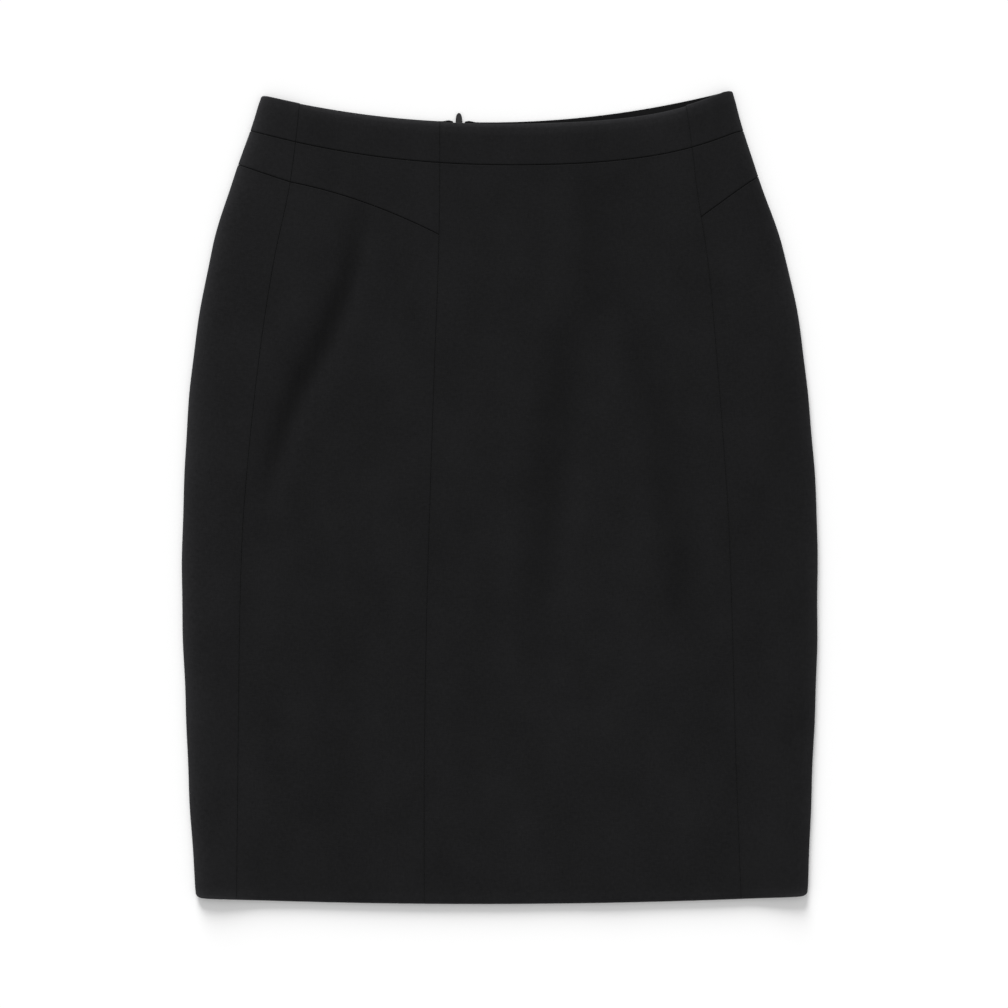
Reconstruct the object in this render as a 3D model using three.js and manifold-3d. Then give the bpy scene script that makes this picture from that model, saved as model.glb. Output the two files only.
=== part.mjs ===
// A straight, knee-length skirt laid flat on its back: a tube of cloth cut in five gores, with a
// contoured waistband, a shaped yoke round the sides and back, and an invisible zip in the centre back.
// Millimetres. X runs across the skirt, +Y from hem to waist, +Z up from the surface it lies on.
import * as THREE from "three";
import { mergeVertices } from "three/addons/utils/BufferGeometryUtils.js";
import Module from "manifold-3d";

const wasm = await Module();
wasm.setup();

// ---------------------------------------------------------------- driving sizes

const CLOTH = 1.2; // one layer of suiting
const FOLD_GAP = 3.6; // air inside the soft folds at the two sides
const LAYER_GAP = 2.4; // air between front and back away from the folds
const FOLD_RADIUS = CLOTH + FOLD_GAP / 2; // outside radius of a side fold
const SETTLE = 42; // distance in from a fold over which the front sinks to LAYER_GAP
const SEAM_GAP = 0.3; // between two pieces at an upright seam
const CROSS_SEAM_GAP = 0.36; // between two pieces at a level or slanting seam

const WAIST = 299.4; // height of each edge and seam, measured where it meets the side folds
const BAND_SEAM = 270.8;
const HEM = -296;
const FRONT_SET_DOWN = 0.6; // the front's waist edge lies this much below the back's

// The tube at each height. left and right are the side folds, dip is how far the middle of that level
// hangs below its ends, tilt raises the right end and lowers the left. sideSeam, frontLeft and
// frontRight are the upright seams on the front layer, farSide is the other side seam, on the back.
const COLUMNS = ["up", "left", "right", "dip", "tilt", "sideSeam", "frontLeft", "frontRight", "farSide"];
const LEVELS = [
  [299.4, -177.0, 172.0, 22, 1.8, -148, -44.4, 137.6, 143.0],
  [270.8, -185.0, 180.0, 25, 0.0, -151, -44.4, 142.0, 146.0],
  [236.0, -197.2, 191.8, 24, 0.0, -156, -44.6, 146.2, 151.5],
  [183.0, -213.0, 209.5, 21, 0.0, -167, -45.8, 153.9, 163.7],
  [109.0, -226.4, 224.3, 17, 0.0, -178, -48.5, 160.6, 175.5],
  [-2.0, -234.4, 233.8, 12, 0.0, -189, -52.0, 168.6, 189.0],
  [-75.0, -235.1, 235.1, 9, 0.0, -192, -54.0, 171.4, 191.7],
  [-187.0, -231.4, 232.0, 6, 0.2, -193.5, -55.8, 174.4, 194.0],
  [-296.0, -225.2, 227.2, 5.2, 0.7, -194.6, -55.9, 178.3, 196.6],
].map((row) => Object.fromEntries(COLUMNS.map((name, i) => [name, row[i]])));
const BACK_CENTRE = -30.4; // the skirt lies turned a little, so its back seam is off the middle

// The yoke's depth below the band seam, where each upright seam crosses it.
const YOKE = { side: 29, frontLeft: 55, frontRight: 52.4, backCentre: 18.4, curve: 2.1 };

// The front's waist edge and band hang a little low towards one side, so the back shows above it.
const SAG = { deep: 4.0, from: -0.35, to: 0.96, lean: 2.65, fadesOver: 150 };

// One long soft hollow in the front, from beside the yoke down towards the side fold.
const HOLLOW = { from: [-92, 196], bend: [-132, 112], to: [-172, -8], wide: 17, deep: 1.0 };

// Invisible zip. Lengths run down from the waist edge at the back seam.
const ZIP = { long: 180, tapeWide: 9, tapeThick: 1.0, coilWide: 1.5, coilThick: 1.2, clear: 0.2 };
// Half the opening between the two ends of the waistband, above and beside the slider.
const SLOT = [
  { down: 0, half: 4.4 },
  { down: 9, half: 3.4 },
  { down: 20, half: 2.8 },
  { down: 24, half: SEAM_GAP / 2 },
  { down: 60, half: SEAM_GAP / 2 },
];
const SLIDER = { long: 8, wide: 4.8, from: 2.0, to: 3.3, bridgeWide: 1.6, bridgeLong: 4.2, bridgeFoot: 0.8 };
const HINGE = { down: 15.6, high: 1.35 };
const PULL = {
  long: 22.3, thick: 0.8, ring: 1.9, neck: 1.4, blade: 2.45, bar: 0.7, window: 3.3, windowHalf: 1.1,
};

// ---------------------------------------------------------------- the tube of cloth

const mix = THREE.MathUtils.lerp;
const smooth = (x, from, to) => THREE.MathUtils.smoothstep(x, from, to);

// A column of LEVELS as a smooth function of height: cubic pieces through every row.
function column(name) {
  const slope = (i) => {
    const a = LEVELS[Math.max(i - 1, 0)];
    const b = LEVELS[Math.min(i + 1, LEVELS.length - 1)];
    return (b[name] - a[name]) / (b.up - a.up);
  };
  return (up) => {
    let i = LEVELS.findIndex((row) => up > row.up) - 1;
    if (i < 0) i = up >= LEVELS[0].up ? 0 : LEVELS.length - 2;
    const [a, b] = [LEVELS[i], LEVELS[i + 1]];
    const run = b.up - a.up;
    const t = (up - a.up) / run;
    const bend = t * (1 - t);
    return mix(a[name], b[name], t * t * (3 - 2 * t)) + run * bend * ((1 - t) * slope(i) - t * slope(i + 1));
  };
}
const left = column("left");
const right = column("right");
const dip = column("dip");
const tilt = column("tilt");
const sideSeam = column("sideSeam");
const frontLeft = column("frontLeft");
const frontRight = column("frontRight");
const farSide = column("farSide");

// Distance from (x, y) to the hollow's line, a parabola through its three points.
function hollowDistance(x, y) {
  const points = [HOLLOW.from, HOLLOW.bend, HOLLOW.to].map((p) => new THREE.Vector2(...p));
  const line = new THREE.QuadraticBezierCurve(...points);
  return Math.min(...line.getPoints(16).map((p) => Math.hypot(p.x - x, p.y - y)));
}

// How high the front layer's outside lies above the surface.
function frontHeight(x, y, up) {
  const fromFold = Math.min(x - left(up), right(up) - x) - FOLD_RADIUS;
  const sunk = (FOLD_GAP - LAYER_GAP) * smooth(fromFold, 0, SETTLE);
  const hollow = HOLLOW.deep * Math.exp(-((hollowDistance(x, y) / HOLLOW.wide) ** 2));
  return 2 * FOLD_RADIUS - sunk - hollow;
}

// A level of the tube seen from above: its middle hangs below its ends.
function levelY(x, up, onFront) {
  const across = (2 * x - left(up) - right(up)) / (right(up) - left(up));
  const along = THREE.MathUtils.clamp((across - SAG.from) / (SAG.to - SAG.from), 0, 1);
  const sag = SAG.deep * Math.sin(Math.PI * along ** SAG.lean) * smooth(up, WAIST - SAG.fadesOver, WAIST);
  const middle = Math.max(0, 1 - across * across);
  return up - dip(up) * middle + tilt(up) * across - (onFront ? sag : 0);
}

// Places round the tube, each a function of height: on the front, on the back, or round a side fold,
// where turn runs from 0 on the front to pi on the back.
const onFront = (x) => (up) => ({ x: x(up), side: 0, turn: 0 });
const onBack = (x) => (up) => ({ x: x(up), side: 0, turn: Math.PI });
const roundFold = (side, turn) => (up) => ({
  x: side < 0 ? left(up) + FOLD_RADIUS : right(up) - FOLD_RADIUS,
  side,
  turn,
});

// The point of the cloth at a place and height, depth inside its outer face.
function clothPoint(place, up, depth) {
  const { x, side, turn } = place(up);
  const reach = FOLD_RADIUS - depth;
  const px = x + side * reach * Math.sin(turn);
  const py = levelY(px, up, turn === 0);
  if (turn === 0) return new THREE.Vector3(px, py, frontHeight(x, py, up) - depth);
  if (turn === Math.PI) return new THREE.Vector3(px, py, depth);
  return new THREE.Vector3(px, py, FOLD_RADIUS + reach * Math.cos(turn));
}

// A closed wall of cloth. places run round the tube with the front to the left of the walk, and
// heights(i) gives the heights down the column at places[i].
function clothWall(name, places, heights, material) {
  const columns = places.map((place, i) => {
    const ups = heights(i);
    return [0, CLOTH].map((depth) => ups.map((up) => clothPoint(place, up, depth)));
  });
  const rows = columns[0][0].length;
  const position = columns.flatMap((faces) => faces.flatMap((face) => face.flatMap((p) => p.toArray())));
  const at = (i, depth, j) => (i * 2 + depth) * rows + j;
  const index = [];
  const quad = (a, b, c, d) => index.push(a, b, c, a, c, d);
  for (let i = 0; i + 1 < columns.length; i++) {
    for (let j = 0; j + 1 < rows; j++) {
      quad(at(i, 0, j), at(i, 0, j + 1), at(i + 1, 0, j + 1), at(i + 1, 0, j));
      quad(at(i, 1, j), at(i + 1, 1, j), at(i + 1, 1, j + 1), at(i, 1, j + 1));
    }
    quad(at(i, 0, 0), at(i + 1, 0, 0), at(i + 1, 1, 0), at(i, 1, 0));
    quad(at(i, 0, rows - 1), at(i, 1, rows - 1), at(i + 1, 1, rows - 1), at(i + 1, 0, rows - 1));
  }
  const last = columns.length - 1;
  for (let j = 0; j + 1 < rows; j++) {
    quad(at(0, 0, j), at(0, 1, j), at(0, 1, j + 1), at(0, 0, j + 1));
    quad(at(last, 0, j), at(last, 0, j + 1), at(last, 1, j + 1), at(last, 1, j));
  }
  const geometry = new THREE.BufferGeometry();
  geometry.setAttribute("position", new THREE.Float32BufferAttribute(position, 3));
  geometry.setIndex(index);
  geometry.computeVertexNormals();
  const mesh = new THREE.Mesh(geometry, material);
  mesh.name = name;
  return mesh;
}

// Places evenly spread between two seams on one layer, their ends drawn in by half a seam gap.
function between(layer, from, to, count, gapFrom = SEAM_GAP / 2, gapTo = SEAM_GAP / 2) {
  const half = (gap, up) => (typeof gap === "function" ? gap(up) : gap);
  return Array.from({ length: count + 1 }, (_, i) =>
    layer((up) => {
      const way = Math.sign(to(up) - from(up));
      return mix(from(up) + way * half(gapFrom, up), to(up) - way * half(gapTo, up), i / count);
    }),
  );
}
const FOLD_TURNS = [1, 2, 3].map((n) => (n * Math.PI) / 4);
const leftFoldTop = (up) => left(up) + FOLD_RADIUS;
const rightFoldTop = (up) => right(up) - FOLD_RADIUS;
const backCentre = () => BACK_CENTRE;

// Half the gap at the back seam: the slot for the zip's slider near the waist, then a plain seam.
function slotHalf(up) {
  const down = WAIST - up;
  const i = Math.max(1, SLOT.findIndex((row) => down <= row.down));
  const [a, b] = down > SLOT.at(-1).down ? [SLOT.at(-1), SLOT.at(-1)] : [SLOT[i - 1], SLOT[i]];
  return b === a ? a.half : mix(a.half, b.half, (down - a.down) / (b.down - a.down));
}

// The five gores, walked clockwise as seen from the hem: each a run of places from one seam to the next.
const GORES = {
  front_left: between(onFront, sideSeam, frontLeft, 5),
  front_centre: between(onFront, frontLeft, frontRight, 8),
  front_right: [
    ...between(onFront, frontRight, rightFoldTop, 3, SEAM_GAP / 2, 0),
    ...FOLD_TURNS.map((turn) => roundFold(1, turn)),
    ...between(onBack, rightFoldTop, farSide, 2, 0),
  ],
  back_right: between(onBack, farSide, backCentre, 5, SEAM_GAP / 2, slotHalf),
  back_left: [
    ...between(onBack, backCentre, leftFoldTop, 5, slotHalf, 0),
    ...FOLD_TURNS.toReversed().map((turn) => roundFold(-1, turn)),
    ...between(onFront, leftFoldTop, sideSeam, 3, 0),
  ],
};

// How far round its gore each place lies, from 0 to 1, measured at the yoke's height.
function shares(places) {
  const points = places.map((place) => clothPoint(place, BAND_SEAM - YOKE.side, 0));
  const along = [0];
  points.slice(1).forEach((p, i) => along.push(along[i] + p.distanceTo(points[i])));
  return along.map((d) => d / along.at(-1));
}

// The yoke's depth along each gore: a curve that flattens towards the side seams.
const YOKE_DEPTH = {
  front_left: (share) => mix(YOKE.side, YOKE.frontLeft, share ** YOKE.curve),
  front_right: (share) => mix(YOKE.side, YOKE.frontRight, (1 - share) ** YOKE.curve),
  back_right: (share) => mix(YOKE.backCentre, YOKE.side, (1 - share) ** YOKE.curve),
  back_left: (share) => mix(YOKE.backCentre, YOKE.side, share ** YOKE.curve),
};

const steps = (from, to, count) => Array.from({ length: count + 1 }, (_, i) => mix(from, to, i / count));
const BACK_BAND_ROWS = [0, 9, 20, 24];
const PANEL_ROWS = 18;

function skirtPieces(material) {
  const half = CROSS_SEAM_GAP / 2;
  return Object.entries(GORES).flatMap(([gore, places]) => {
    const isBack = gore.startsWith("back");
    const depth = YOKE_DEPTH[gore];
    const along = shares(places);
    const top = WAIST - (gore === "front_centre" || gore === "front_left" ? FRONT_SET_DOWN : 0);
    const bandHeights = isBack
      ? [...BACK_BAND_ROWS.map((down) => WAIST - down), BAND_SEAM + half]
      : steps(top, BAND_SEAM + half, 2);
    const yokeFoot = (i) => (depth ? BAND_SEAM - depth(along[i]) : BAND_SEAM);
    const made = [clothWall(`waistband_${gore}`, places, () => bandHeights, material)];
    if (depth) {
      const yokeRows = (i) => steps(BAND_SEAM - half, yokeFoot(i) + half, 2);
      made.push(clothWall(`yoke_${gore}`, places, yokeRows, material));
    }
    const panelRows = (i) => steps(yokeFoot(i) - half, HEM, PANEL_ROWS);
    made.push(clothWall(`panel_${gore}`, places, panelRows, material));
    return made;
  });
}

// ---------------------------------------------------------------- the zip

const BACK_TOP = levelY(BACK_CENTRE, WAIST, false); // the waist edge at the back seam
const hingeY = BACK_TOP - HINGE.down;
const tapeFloor = CLOTH + ZIP.clear;

function extruded(outline, thick, z) {
  const geometry = new THREE.ExtrudeGeometry(outline, { depth: thick, bevelEnabled: false, curveSegments: 6 });
  return geometry.translate(0, 0, z);
}

// One half of the zip's tape, lying along the inside of the back seam. way is -1 left and +1 right.
function tape(way) {
  const top = 2; // it stops just short of the waist edge
  const beside = SLOT.slice(0, 4).map((row) => [Math.max(row.down, top), row.half]);
  const inner = [...beside, [ZIP.long, SEAM_GAP / 2]];
  const edge = inner.map(([down, slot]) => {
    const clearOfCoil = down < SLOT[3].down ? 0 : ZIP.coilWide;
    return new THREE.Vector2(BACK_CENTRE + way * (slot + clearOfCoil + ZIP.clear), BACK_TOP - down);
  });
  const outer = edge.toReversed().map((p) => new THREE.Vector2(p.x + way * ZIP.tapeWide, p.y));
  return extruded(new THREE.Shape([...edge, ...outer]), ZIP.tapeThick, tapeFloor);
}

// The closed chain of coils below the slider, one half on each tape.
function coil(way) {
  const top = HINGE.down + SLIDER.long / 2 + ZIP.clear;
  const long = ZIP.long - top;
  const box = new THREE.BoxGeometry(ZIP.coilWide - ZIP.clear, long, ZIP.coilThick);
  const x = BACK_CENTRE + way * (SEAM_GAP / 2 + (ZIP.coilWide - ZIP.clear) / 2);
  return box.translate(x, BACK_TOP - top - long / 2, tapeFloor + ZIP.coilThick / 2);
}

function solid(geometry) {
  const bare = geometry.clone();
  bare.deleteAttribute("normal");
  bare.deleteAttribute("uv");
  const merged = mergeVertices(bare, 1e-4);
  const vertProperties = merged.attributes.position.array;
  const triVerts = new Uint32Array(merged.index.array);
  return new wasm.Manifold(new wasm.Mesh({ numProp: 3, vertProperties, triVerts }));
}

function geometryOf(manifold) {
  const { vertProperties, triVerts } = manifold.getMesh();
  const geometry = new THREE.BufferGeometry();
  geometry.setAttribute("position", new THREE.BufferAttribute(vertProperties, 3));
  geometry.setIndex(new THREE.BufferAttribute(triVerts, 1));
  geometry.computeVertexNormals();
  return geometry;
}

// The slider: a shield-shaped body inside the skirt, with a bridge that reaches out through the slot.
function slider() {
  const halfWide = SLIDER.wide / 2;
  const halfLong = SLIDER.long / 2;
  const shield = new THREE.Shape();
  shield.moveTo(-halfWide * 0.7, -halfLong);
  shield.lineTo(halfWide * 0.7, -halfLong);
  shield.quadraticCurveTo(halfWide, 0, halfWide, halfLong * 0.5);
  shield.quadraticCurveTo(halfWide, halfLong, 0, halfLong);
  shield.quadraticCurveTo(-halfWide, halfLong, -halfWide, halfLong * 0.5);
  shield.quadraticCurveTo(-halfWide, 0, -halfWide * 0.7, -halfLong);
  const body = extruded(shield, SLIDER.to - SLIDER.from, SLIDER.from);

  // The bridge in side view: x of the shape runs along the zip and y is height.
  const reach = SLIDER.bridgeLong / 2;
  const crown = HINGE.high - 1.2;
  const sinks = SLIDER.from + 0.4;
  const bridge = new THREE.Shape([
    new THREE.Vector2(-reach, sinks),
    new THREE.Vector2(-reach, crown + 0.5),
    new THREE.Vector2(-reach + 0.5, crown),
    new THREE.Vector2(reach - 0.5, crown),
    new THREE.Vector2(reach, crown + 0.5),
    new THREE.Vector2(reach, sinks),
  ]);
  const eye = reach - SLIDER.bridgeFoot;
  const eyeFloor = crown + 0.55;
  bridge.holes.push(
    new THREE.Path([
      new THREE.Vector2(-eye, eyeFloor),
      new THREE.Vector2(-eye, SLIDER.from),
      new THREE.Vector2(eye, SLIDER.from),
      new THREE.Vector2(eye, eyeFloor),
    ]),
  );
  const arch = new THREE.ExtrudeGeometry(bridge, { depth: SLIDER.bridgeWide, bevelEnabled: false });
  arch.rotateX(Math.PI / 2).rotateZ(Math.PI / 2).translate(-SLIDER.bridgeWide / 2, 0, 0);
  const made = geometryOf(solid(body).add(solid(arch)));
  return made.translate(BACK_CENTRE, hingeY, 0);
}

// The pull: a ring round the slider's bridge, a slim neck and a drop-shaped blade past the waist edge.
function pull() {
  const { long, ring, neck, blade, bar, window, windowHalf, thick } = PULL;
  const outline = new THREE.Shape();
  outline.moveTo(-ring, -bar / 2);
  outline.lineTo(ring, -bar / 2);
  outline.lineTo(ring, window);
  outline.bezierCurveTo(ring, window + 2, neck, window + 1.5, neck, window + 4);
  outline.bezierCurveTo(neck, long * 0.55, blade, long * 0.55, blade, long * 0.72);
  outline.bezierCurveTo(blade, long * 0.9, blade * 0.6, long, 0, long);
  outline.bezierCurveTo(-blade * 0.6, long, -blade, long * 0.9, -blade, long * 0.72);
  outline.bezierCurveTo(-blade, long * 0.55, -neck, long * 0.55, -neck, window + 4);
  outline.bezierCurveTo(-neck, window + 1.5, -ring, window + 2, -ring, window);
  outline.closePath();
  outline.holes.push(
    new THREE.Path([
      new THREE.Vector2(-windowHalf, bar / 2),
      new THREE.Vector2(-windowHalf, window),
      new THREE.Vector2(windowHalf, window),
      new THREE.Vector2(windowHalf, bar / 2),
    ]),
  );
  return extruded(outline, thick, -thick / 2).translate(BACK_CENTRE, hingeY, HINGE.high);
}

function zipPieces(tapeMaterial, coilMaterial, metalMaterial) {
  const made = [
    ["zip_tape_left", tape(-1), tapeMaterial],
    ["zip_tape_right", tape(1), tapeMaterial],
    ["zip_coil_left", coil(-1), coilMaterial],
    ["zip_coil_right", coil(1), coilMaterial],
    ["zip_slider", slider(), metalMaterial],
    ["zip_pull", pull(), metalMaterial],
  ];
  return made.map(([name, geometry, material]) => {
    const mesh = new THREE.Mesh(geometry, material);
    mesh.name = name;
    return mesh;
  });
}

// ---------------------------------------------------------------- the whole skirt

const suiting = new THREE.MeshStandardMaterial({ color: 0x1e1e1f, roughness: 0.9, metalness: 0 });
const tapeWeave = new THREE.MeshStandardMaterial({ color: 0x161617, roughness: 0.85, metalness: 0 });
const nylon = new THREE.MeshStandardMaterial({ color: 0x121213, roughness: 0.5, metalness: 0 });
const enamelledZinc = new THREE.MeshStandardMaterial({ color: 0x101011, roughness: 0.35, metalness: 0.4 });

const skirt = new THREE.Group();
skirt.add(...skirtPieces(suiting), ...zipPieces(tapeWeave, nylon, enamelledZinc));

export default skirt;
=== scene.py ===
"""A straight knee-length skirt laid flat on its back: cloth shells, zip and studio round its frame."""
import math

import bpy
import numpy as np
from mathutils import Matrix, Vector

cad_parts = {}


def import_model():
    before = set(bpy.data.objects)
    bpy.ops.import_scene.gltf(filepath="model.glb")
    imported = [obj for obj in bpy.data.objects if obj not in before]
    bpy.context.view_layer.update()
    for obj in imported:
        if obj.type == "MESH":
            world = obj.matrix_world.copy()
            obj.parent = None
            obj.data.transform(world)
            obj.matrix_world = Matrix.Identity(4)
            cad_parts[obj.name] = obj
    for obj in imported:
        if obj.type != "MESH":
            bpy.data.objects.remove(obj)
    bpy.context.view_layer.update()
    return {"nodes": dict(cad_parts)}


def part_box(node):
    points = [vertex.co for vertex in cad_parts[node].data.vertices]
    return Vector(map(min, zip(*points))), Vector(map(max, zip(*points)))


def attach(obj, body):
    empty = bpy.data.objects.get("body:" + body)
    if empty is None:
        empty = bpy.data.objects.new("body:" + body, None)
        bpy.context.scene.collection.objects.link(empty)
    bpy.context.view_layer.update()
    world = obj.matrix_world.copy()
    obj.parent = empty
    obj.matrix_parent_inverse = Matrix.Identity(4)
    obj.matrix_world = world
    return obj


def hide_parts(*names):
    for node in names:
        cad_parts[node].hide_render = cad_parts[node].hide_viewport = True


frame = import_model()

MM = 0.001

bl_info = {
    "name": "Laid-out skirt",
    "version": (1, 0, 0),
    "blender": (4, 5, 0),
    "location": "3D View > Sidebar > Skirt",
    "description": "Builds a straight skirt with a shaped yoke, waistband and invisible zip, laid flat",
    "category": "Object",
}


# ---------------------------------------------------------------- sizes

# The tube of cloth at each height, in mm. left and right are the side folds; dip is how far the middle
# of the level hangs below its ends; tilt raises the right end. side, princess and far are the upright seams
# on the front, and back is the far side seam on the back.
COLUMNS = ("up", "left", "right", "dip", "tilt", "side", "princess", "far", "back")
LEVELS = [dict(zip(COLUMNS, row)) for row in (
    (299.4, -177.0, 172.0, 22.0, 1.8, -148.0, -44.4, 137.6, 143.0),
    (270.8, -185.0, 180.0, 25.0, 0.0, -151.0, -44.4, 142.0, 146.0),
    (236.0, -197.2, 191.8, 24.0, 0.0, -156.0, -44.6, 146.2, 151.5),
    (183.0, -213.0, 209.5, 21.0, 0.0, -167.0, -45.8, 153.9, 163.7),
    (109.0, -226.4, 224.3, 17.0, 0.0, -178.0, -48.5, 160.6, 175.5),
    (-2.0, -234.4, 233.8, 12.0, 0.0, -189.0, -52.0, 168.6, 189.0),
    (-75.0, -235.1, 235.1, 9.0, 0.0, -192.0, -54.0, 171.4, 191.7),
    (-187.0, -231.4, 232.0, 6.0, 0.2, -193.5, -55.8, 174.4, 194.0),
    (-296.0, -225.2, 227.2, 5.2, 0.7, -194.6, -55.9, 178.3, 196.6),
)]
WAIST, BAND_SEAM, HEM = 299.4, 270.8, -296.0
BACK_CENTRE = -30.4
FRONT_SET_DOWN = 0.6  # the front's waist edge lies a little below the back's
SAG = dict(deep=4.0, start=-0.35, end=0.96, lean=2.65, fades=150.0)
YOKE = dict(side=29.0, princess=55.0, far=52.4, back=18.4, curve=2.1)
ZIP_LUMP = dict(out=7.5, wide=3.0, rise=1.0)  # the waist edge stands up a little where the zip is sewn in
SLOT = dict(down=(0.0, 9.0, 20.0, 24.0), half=(4.4, 3.4, 2.8, 0.05))  # opening for the slider
CORNER = dict(waist=1.5, hem=2.6, soft=1.9, reach=9.0)  # rounding of the four outer corners
HALF_HEIGHT = 3.0  # of the whole laid-out skirt, at its side folds
SETTLED = 1.2  # how much lower the front lies away from the folds
SETTLE_OVER = 42.0  # how far in from a fold it takes to settle

# Mesh lines beside a seam, as distances from it in mm, and how many lie round a side fold.
NEAR_SEAM = (0.0, 0.1, 0.28, 0.5, 0.8, 1.3, 2.2, 3.4)
FOLD_STEPS = 16

# Turned edges: how far round the edge rolls as a share of the cloth, how far the front droops to its
# hem and waist edges, and how much thicker the cloth is over its turning, which ends from 30 to 34 mm in.
FREE_EDGE = dict(roll=0.72, droop=1.15, doubled=0.45, turning=(30, 34))
PUCKER = dict(deep=0.05, wave=3.1, drift=17, reach=5, clear=0.3)  # gathering along a sewn seam
UNEVEN = dict(rise=0.05, waves=(  # length, direction and shift of each wave
    (61, 0.9, 0.3), (47, 2.2, 1.7), (83, 4.0, 0.6), (38, 5.3, 2.9), (29, 1.4, 4.4)))

# The zip, in mm: how far its tape stops below the waist edge, its width, thickness and clearances.
TAPE = dict(top=2.0, wide=9.0, thick=0.7, clear=0.2, beside_coil=1.5, coil_from=(20.0, 25.0), waver=0.12,
            rows=90)
TAPE_SECTION = ((0, 0.1), (0.04, 0), (0.3, 0.02), (0.6, 0.02), (0.96, 0), (1, 0.1))  # share across, lift
COIL = dict(wire=0.2, inset=0.22, ends=0.3, steps=10, sides=6)
ENAMEL_EDGE = dict(wide=0.14, segments=2, angle=40)  # rounding of the slider's and the pull's edges

FLOOR = dict(half=6.0, drop=0.05 * MM)  # metres; a hair below the skirt
KEY_FROM = (-0.16, 1.0)  # the key light comes from the waist side and a little from the left
CAMERA = dict(lens=100, sensor=36, x=2.96 * MM, y=-5.18 * MM)

# Soft creases, in mm: middle, half length along it, half width across it, its lean from upright in
# degrees, bend (how far its ends curve sideways) and rise, which is negative for a hollow.
FRONT_CREASES = [
    dict(x=-140, y=98, long=108, wide=9, lean=-29, bend=-18, rise=-1.9),
    dict(x=-120, y=88, long=104, wide=12, lean=-29, bend=-18, rise=1.2),
    dict(x=-162, y=108, long=96, wide=13, lean=-27, bend=-16, rise=0.9),
    dict(x=-196, y=-40, long=130, wide=15, lean=-6, bend=8, rise=0.40),
    dict(x=66, y=200, long=80, wide=15, lean=6, bend=5, rise=-0.80),
    dict(x=36, y=14, long=120, wide=16, lean=-4, bend=9, rise=-1.00),
    dict(x=124, y=0, long=120, wide=16, lean=5, bend=-9, rise=-0.95),
    dict(x=92, y=-90, long=150, wide=34, lean=3, bend=10, rise=0.30),
    dict(x=-14, y=-150, long=130, wide=30, lean=-5, bend=12, rise=0.28),
    dict(x=-118, y=-160, long=120, wide=28, lean=4, bend=-10, rise=-0.30),
    dict(x=196, y=-30, long=150, wide=16, lean=-3, bend=6, rise=-0.32),
    dict(x=10, y=250, long=26, wide=60, lean=0, bend=3, rise=0.22),
]
BACK_CREASES = [
    dict(x=130, y=90, long=120, wide=24, lean=34, bend=-22, rise=0.60),
    dict(x=-120, y=60, long=130, wide=22, lean=-12, bend=10, rise=0.45),
    dict(x=60, y=-120, long=140, wide=26, lean=6, bend=12, rise=0.40),
    dict(x=-90, y=-170, long=110, wide=24, lean=-8, bend=-9, rise=0.38),
    dict(x=-20, y=190, long=60, wide=16, lean=4, bend=5, rise=0.32),
    dict(x=170, y=-60, long=140, wide=18, lean=-5, bend=6, rise=0.42),
]

# Painted sheen: how much paler the cloth's colour is painted along its folded edges, waist and hem, where
# light grazes the turned cloth, and how far in that reaches, in mm; and painted shade: how much darker it is
# painted down in a seam.
PAINTED_SHEEN = dict(left=1.7, left_reach=4.2, right=1.5, right_reach=2.6, broad=0.34, broad_reach=26.0,
             waist=1.0, waist_reach=3.0, hem=2.6, hem_reach=2.0)
INSIDE_PAINTED_SHADE = 0.6  # painted shade: the inside is painted darker and gets none of the painted sheen
PAINTED_HOLLOW_SHADE = 0.28  # painted shade: how much darker the cloth is painted for each mm that a crease lies below it
# painted shade in the upright and level seams, and how far from a seam it reaches, in mm
SEAM_PAINTED_SHADE = dict(upright=0.10, level=0.30, reach=1.0)


def hex_colour(code):
    """An sRGB hex colour as linear numbers."""
    parts = [int(code[i:i + 2], 16) / 255 for i in (1, 3, 5)]
    return tuple(c / 12.92 if c <= 0.04045 else ((c + 0.055) / 1.055) ** 2.4 for c in parts)


class SkirtSizes(bpy.types.PropertyGroup):
    cloth: bpy.props.FloatProperty(
        name="Cloth", description="Thickness of one layer of suiting", default=1.2 * MM, unit="LENGTH")
    spacing: bpy.props.FloatProperty(
        name="Mesh spacing", description="Distance between mesh lines away from the seams",
        default=5.0 * MM, unit="LENGTH")
    seam_roll: bpy.props.FloatProperty(
        name="Level seam roll", description="Radius of the turned edge at a level seam", default=0.75 * MM,
        unit="LENGTH")
    upright_roll: bpy.props.FloatProperty(
        name="Upright seam roll", description="Radius of the turned edge at an upright seam",
        default=0.5 * MM, unit="LENGTH")
    seam_gap: bpy.props.FloatProperty(
        name="Seam gap", description="Gap left between two pieces at a seam", default=0.06 * MM,
        unit="LENGTH")
    edge_roll: bpy.props.FloatProperty(
        name="Edge roll", description="How far in the hem and waist edges begin to round over",
        default=3.4 * MM, unit="LENGTH")
    left_fold: bpy.props.FloatProperty(
        name="Left fold", description="Width of the rounded side fold on the left", default=12.0 * MM,
        unit="LENGTH")
    right_fold: bpy.props.FloatProperty(
        name="Right fold", description="Width of the rounded side fold on the right", default=4.2 * MM,
        unit="LENGTH")
    creases: bpy.props.FloatProperty(
        name="Creases", description="Strength of the soft creases", default=1.0, subtype="FACTOR",
        min=0, max=2)
    coil_pitch: bpy.props.FloatProperty(
        name="Coil pitch", description="Distance between two turns of the zip's coil", default=1.2 * MM,
        unit="LENGTH")


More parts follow.
